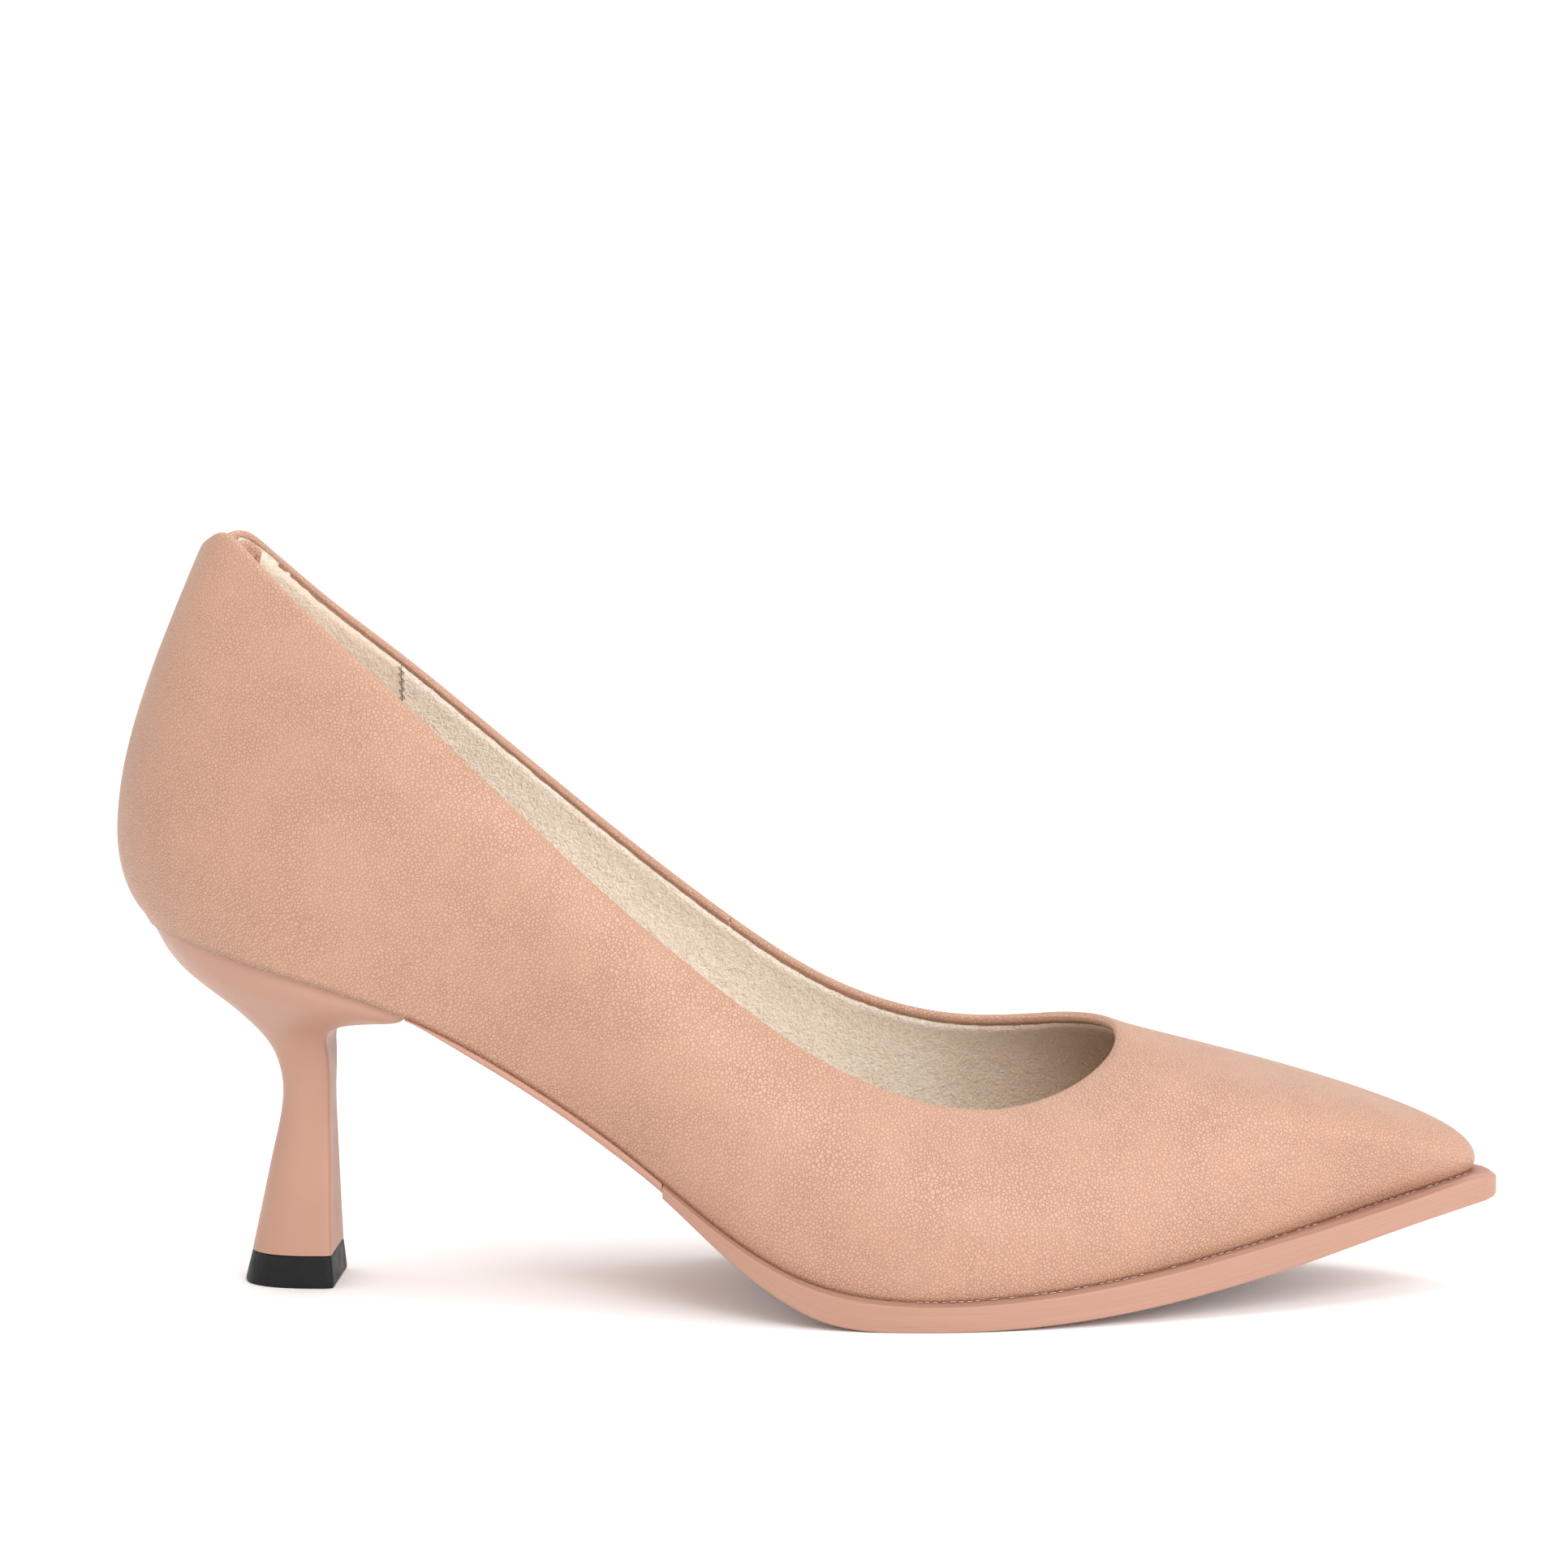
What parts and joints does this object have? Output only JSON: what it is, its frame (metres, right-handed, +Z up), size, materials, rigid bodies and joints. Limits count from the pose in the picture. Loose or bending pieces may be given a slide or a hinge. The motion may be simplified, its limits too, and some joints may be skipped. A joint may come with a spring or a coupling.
{
  "type": "high heel pump",
  "caption": "Right-foot pointed-toe pump in blush leather with a beige microsuede lining, squared sole tip and a flared 64 mm heel with a black rubber top piece.",
  "frame": {"origin": "on the floor, under the middle of the overall box", "axes": "+X from heel to toe, +Y towards the inner side of the foot, +Z up"},
  "size_m": [0.261, 0.0794, 0.143],
  "materials": {
    "blush_leather": "smooth, fine pebbled grain, satin",
    "microsuede": "brushed beige microsuede",
    "lining_smooth": "smooth pale beige, matt",
    "painted_heel": "satin blush paint, to match the leather",
    "sole_compound": "edge painted blush, brushed along its length",
    "tread_compound": "matt greyish pink",
    "top_piece_compound": "matt black",
    "stiffener": "off-white thermoplastic sheet",
    "interlining_cloth": "white brushed cloth",
    "tape": "white woven tape",
    "board": "pressed fibre board",
    "foam": "soft latex foam",
    "felt": "grey needled felt",
    "steel": "plain steel"
  },
  "bodies": {
    "root": {"back_facing": "blush_leather", "bottom_filler": "felt", "footbed_foam": "foam", "heel_block": "painted_heel", "heel_counter": "stiffener", "heel_grip_lining": "lining_smooth", "heel_nails": "steel", "heel_screw": "steel", "heel_tube": "steel", "inner_quarter": "blush_leather", "insole_board": "board", "interlining_inner": "interlining_cloth", "interlining_outer": "interlining_cloth", "interlining_vamp": "interlining_cloth", "outsole": "sole_compound", "shank_board": "board", "shank_rivets": "steel", "sock_lining": "microsuede", "steel_shank": "steel", "toe_puff": "stiffener", "top_piece": "top_piece_compound", "top_piece_pin": "steel", "topline_tape": "tape", "tread_patch": "tread_compound", "vamp": "blush_leather", "vamp_lining": "microsuede", "waist_cover": "blush_leather"}
  },
  "joints": []
}
